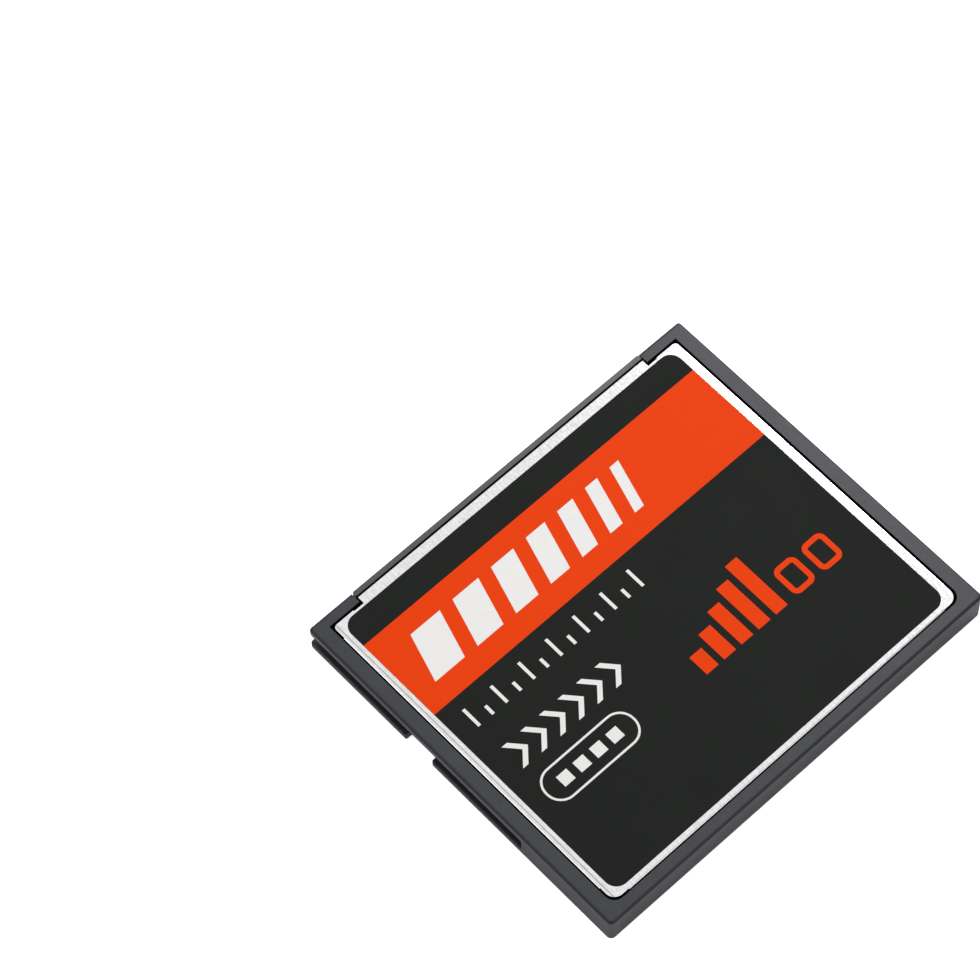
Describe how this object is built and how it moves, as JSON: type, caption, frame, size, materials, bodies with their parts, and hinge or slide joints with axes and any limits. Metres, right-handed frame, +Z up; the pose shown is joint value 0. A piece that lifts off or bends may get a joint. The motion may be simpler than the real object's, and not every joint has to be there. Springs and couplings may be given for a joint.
{
  "type": "flash memory card",
  "caption": "Compact flash memory card: moulded frame with side guide grooves, steel covers with printed labels, and an edge socket with rows of contacts.",
  "frame": {"origin": "on the resting plane, below the centre of the card's outline", "axes": "+X across the card to the right, seen from above with the socket edge away; +Y out of the socket edge; +Z up, out of the printed front face"},
  "size_m": [0.0428, 0.0364, 0.0033],
  "materials": {
    "frame_plastic": "fine moulded satin",
    "cover_steel": "bright satin rolled sheet",
    "insulating_film": "smooth film",
    "housing_plastic": "fine moulded satin",
    "gold_plating": "gold plated",
    "board_laminate": "solder resist on glass laminate",
    "chip_plastic": "moulded epoxy",
    "tinned_metal": "tin plated",
    "capacitor_ceramic": "matte",
    "resistor_glaze": "glazed",
    "front_label_film": "satin printed film",
    "back_label_film": "satin printed film",
    "orange_ink": "satin print",
    "white_ink": "satin print",
    "light_ink": "satin print",
    "red_ink": "satin print",
    "amber_ink": "satin print",
    "yellow_ink": "satin print",
    "green_ink": "satin print",
    "sky_ink": "satin print",
    "blue_ink": "satin print",
    "coral_ink": "satin print",
    "pink_ink": "satin print",
    "grey_ink": "satin print",
    "dark_ink": "satin print"
  },
  "bodies": {
    "root": {"frame": "frame_plastic", "top_cover": "cover_steel", "bottom_cover": "cover_steel", "top_insulator": "insulating_film", "bottom_insulator": "insulating_film", "connector_housing": "housing_plastic", "upper_contacts": "gold_plating", "lower_contacts": "gold_plating", "circuit_board": "board_laminate", "upper_board_pads": "gold_plating", "lower_board_pads": "gold_plating", "controller_body": "chip_plastic", "controller_leads": "tinned_metal", "upper_flash_body": "chip_plastic", "upper_flash_leads": "tinned_metal", "lower_left_flash_body": "chip_plastic", "lower_left_flash_leads": "tinned_metal", "lower_right_flash_body": "chip_plastic", "lower_right_flash_leads": "tinned_metal", "regulator_body": "chip_plastic", "regulator_leads": "tinned_metal", "crystal": "tinned_metal", "upper_capacitors": "capacitor_ceramic", "upper_capacitor_ends": "tinned_metal", "lower_capacitors": "capacitor_ceramic", "lower_capacitor_ends": "tinned_metal", "resistors": "resistor_glaze", "resistor_ends": "tinned_metal", "front_label": "front_label_film", "front_band": "orange_ink", "front_stripes": "white_ink", "front_light_print": "light_ink", "front_orange_print": "orange_ink", "back_label": "back_label_film", "back_field_red": "red_ink", "back_field_amber": "amber_ink", "back_field_yellow": "yellow_ink", "back_field_green": "green_ink", "back_field_sky": "sky_ink", "back_field_blue": "blue_ink", "back_field_orange": "coral_ink", "back_field_pink": "pink_ink", "back_rules": "grey_ink", "back_arrows": "dark_ink", "back_bar": "grey_ink", "back_marks": "grey_ink"}
  },
  "joints": []
}
